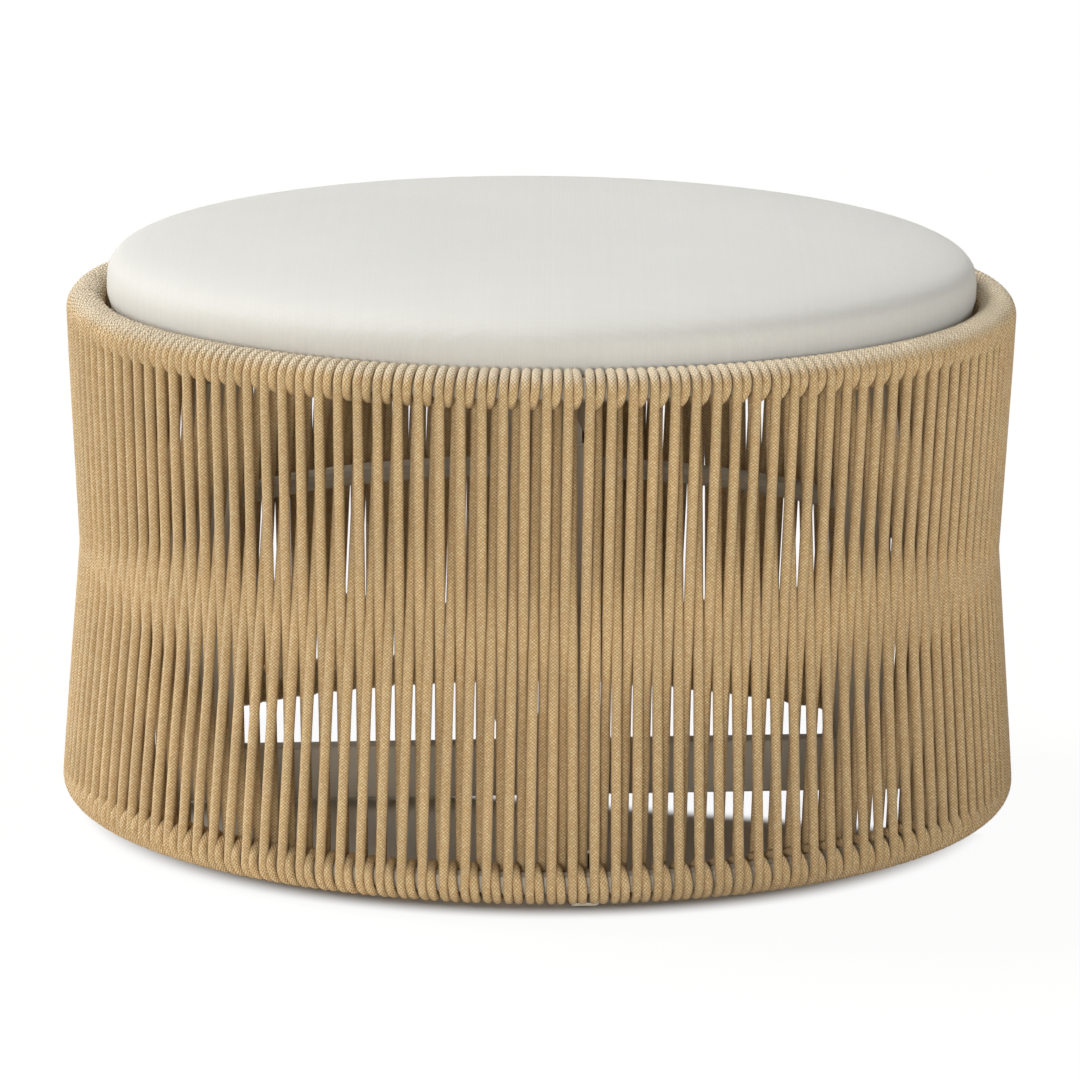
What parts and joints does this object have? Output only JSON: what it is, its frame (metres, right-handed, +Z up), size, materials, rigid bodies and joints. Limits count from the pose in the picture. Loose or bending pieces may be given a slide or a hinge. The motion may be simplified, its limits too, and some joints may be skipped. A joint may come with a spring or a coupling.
{
  "type": "outdoor ottoman footstool",
  "caption": "Round outdoor ottoman footstool: rope laced in two crossing layers between two rings over a box-profile frame, with a slatted deck and a loose cushion.",
  "frame": {"origin": "on the floor under the middle of the round body", "axes": "+Z up, -Y towards the viewer of the picture"},
  "size_m": [0.7088, 0.7088, 0.4423],
  "materials": {
    "frame_metal": "satin powder coat, taupe",
    "rope": "braided outdoor rope, natural tan",
    "glide_plastic": "matte",
    "cushion_fabric": "fine plain weave, off-white"
  },
  "bodies": {
    "frame": {"top_ring_tube": "frame_metal", "bottom_ring_tube": "frame_metal", "base_rail_long": "frame_metal", "base_rail_half_1": "frame_metal", "base_rail_half_2": "frame_metal", "seat_rail_long": "frame_metal", "seat_rail_half_1": "frame_metal", "seat_rail_half_2": "frame_metal", "post_1": "frame_metal", "post_2": "frame_metal", "post_3": "frame_metal", "post_4": "frame_metal", "stretcher_hoop": "frame_metal", "deck_hoop": "frame_metal", "deck_slat_1": "frame_metal", "deck_slat_2": "frame_metal", "deck_slat_3": "frame_metal", "deck_slat_4": "frame_metal", "deck_slat_5": "frame_metal", "deck_slat_6": "frame_metal", "deck_slat_7": "frame_metal", "rope_panel_1": "rope", "rope_panel_2": "rope", "rope_panel_3": "rope", "rope_panel_4": "rope", "rope_panel_5": "rope", "rope_panel_6": "rope", "rope_panel_7": "rope", "rope_panel_8": "rope", "glide_1": "glide_plastic", "glide_2": "glide_plastic", "glide_3": "glide_plastic", "glide_4": "glide_plastic"},
    "cushion": {"cushion": "cushion_fabric"}
  },
  "joints": [
    {"name": "cushion_lift", "type": "slide", "parent": "frame", "child": "cushion", "axis": [0, 0, 1], "range_m": [0, 0.2]}
  ]
}
